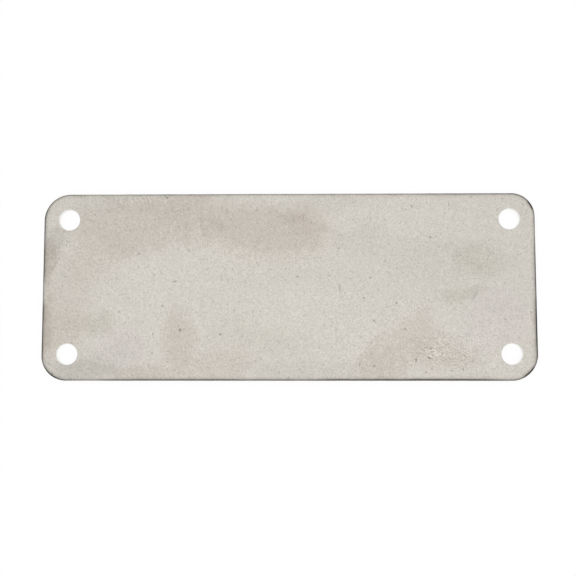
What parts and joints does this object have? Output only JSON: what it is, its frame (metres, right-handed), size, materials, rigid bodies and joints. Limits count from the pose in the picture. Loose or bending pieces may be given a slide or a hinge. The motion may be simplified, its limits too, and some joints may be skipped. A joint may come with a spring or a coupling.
{
  "type": "blank tag",
  "caption": "Flat rectangular aluminium tag blank with rounded corners and a small round fixing hole in each corner; the marking face is bare.",
  "frame": {"origin": "middle of the back face, on which the tag lies", "axes": "+X along the tag's length, +Y up its height, +Z out of the marking face"},
  "size_m": [0.0762, 0.029, 0.0008],
  "materials": {
    "aluminium": "dull mill finish, faintly stained and finely scratched, with a dark sheared rim"
  },
  "bodies": {
    "root": {"blank_tag": "aluminium"}
  },
  "joints": []
}
